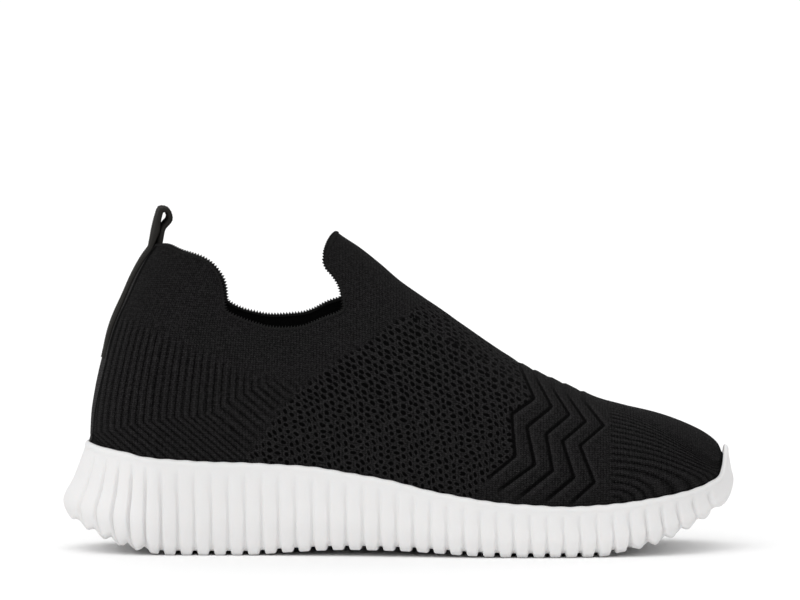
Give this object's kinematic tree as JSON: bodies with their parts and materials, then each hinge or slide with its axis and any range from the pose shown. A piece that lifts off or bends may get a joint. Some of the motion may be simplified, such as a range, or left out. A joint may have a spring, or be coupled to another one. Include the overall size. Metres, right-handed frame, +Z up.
{
  "type": "slip-on sneaker",
  "caption": "Low slip-on sneaker, right shoe: hollow knitted upper with raised heel and front tabs, heel pull loop, insole and thick one-piece foam sole with ribbed sides.",
  "frame": {"origin": "middle of the shoe's length and width, on the floor that it stands on", "axes": "+X towards the toe, +Y towards the inner (medial) side of the foot, +Z up"},
  "size_m": [0.2719, 0.0926, 0.138],
  "materials": {
    "foam_sole": "matt white moulded foam with a soft skin",
    "knit_upper": "black elastic flat knit, matt, with ribbed, openwork and zigzag areas",
    "insole_cloth": "black matt lining cloth",
    "webbing": "black ribbed webbing with a slight sheen"
  },
  "bodies": {
    "root": {"sole": "foam_sole", "upper": "knit_upper", "insole": "insole_cloth", "heel_pull_tape": "webbing"}
  },
  "joints": []
}
